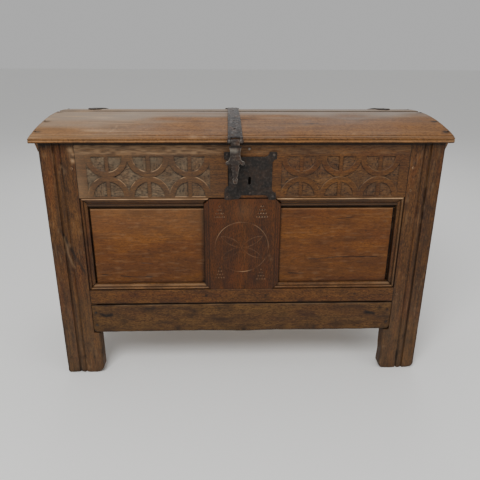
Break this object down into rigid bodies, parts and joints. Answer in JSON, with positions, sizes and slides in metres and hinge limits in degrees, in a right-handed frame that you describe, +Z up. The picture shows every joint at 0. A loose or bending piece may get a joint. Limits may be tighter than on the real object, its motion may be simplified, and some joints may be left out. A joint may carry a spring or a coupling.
{
  "type": "coffer chest",
  "caption": "Joined oak coffer with a low domed lid on strap hinges, a carved top rail, panelled front and sides, and an iron hasp and plate lock.",
  "frame": {"origin": "centre of the whole chest's footprint box, on the floor", "axes": "+X to the right as seen from the front, +Y from the front to the back, +Z up"},
  "size_m": [1.254, 0.6384, 0.8672],
  "materials": {
    "oak_frame": "old waxed oak, reddish dark brown",
    "oak_carved": "old waxed oak with carved and matted ground",
    "oak_panel": "old waxed oak boards",
    "oak_board": "old waxed oak, nailed board",
    "oak_inner": "dry unwaxed oak inside",
    "oak_peg": "riven oak pegs",
    "oak_lid": "worn and faded oak top",
    "iron_strap": "hand-forged iron, worn grey",
    "iron_hasp": "hand-forged iron, dark brown",
    "iron_lock": "hand-forged iron sheet, nearly black",
    "iron_nail": "hand-made iron nails and pins"
  },
  "bodies": {
    "carcass": {"front_left_stile": "oak_frame", "front_right_stile": "oak_frame", "rear_left_stile": "oak_frame", "rear_right_stile": "oak_frame", "left_side_top_rail": "oak_frame", "left_side_lower_rail": "oak_frame", "right_side_top_rail": "oak_frame", "right_side_lower_rail": "oak_frame", "rear_top_rail": "oak_frame", "rear_lower_rail": "oak_frame", "rear_muntin": "oak_frame", "front_top_rail": "oak_carved", "front_muntin": "oak_carved", "front_lower_rail": "oak_carved", "front_left_panel": "oak_panel", "front_right_panel": "oak_panel", "rear_left_panel": "oak_panel", "rear_right_panel": "oak_panel", "left_side_panel": "oak_panel", "right_side_panel": "oak_panel", "front_base_board": "oak_board", "front_floor_ledge": "oak_inner", "rear_floor_ledge": "oak_inner", "floor_board_1": "oak_inner", "floor_board_2": "oak_inner", "floor_board_3": "oak_inner", "floor_board_4": "oak_inner", "joint_pegs": "oak_peg", "left_hinge_leaf": "iron_strap", "right_hinge_leaf": "iron_strap", "lock_plate": "iron_lock", "lock_case": "iron_lock", "base_board_nails": "iron_nail", "lock_plate_nails": "iron_nail", "hinge_leaf_nails": "iron_nail", "hinge_pins": "iron_nail"},
    "lid": {"lid_front_board": "oak_lid", "lid_rear_board": "oak_lid", "left_lid_cleat": "oak_lid", "right_lid_cleat": "oak_lid", "lid_nails": "iron_nail", "left_hinge_strap": "iron_strap", "right_hinge_strap": "iron_strap", "centre_strap": "iron_strap", "strap_nails": "iron_nail", "hasp_pin": "iron_nail"},
    "hasp": {"hasp": "iron_hasp", "hasp_staple": "iron_hasp"},
    "lock_bolt": {"lock_bolt": "iron_lock"}
  },
  "joints": [
    {"name": "lid_hinge", "type": "hinge", "parent": "carcass", "child": "lid", "pos_m": [0, 0.31225, 0.809], "axis": [-1, 0, 0], "range_deg": [0, 100]},
    {"name": "hasp_hinge", "type": "hinge", "parent": "lid", "child": "hasp", "pos_m": [-0.028, -0.31275, 0.817], "axis": [-1, 0, 0], "range_deg": [-16, 165]},
    {"name": "lock_bolt_slide", "type": "slide", "parent": "carcass", "child": "lock_bolt", "axis": [-1, 0, 0], "range_m": [0, 0.014]}
  ]
}
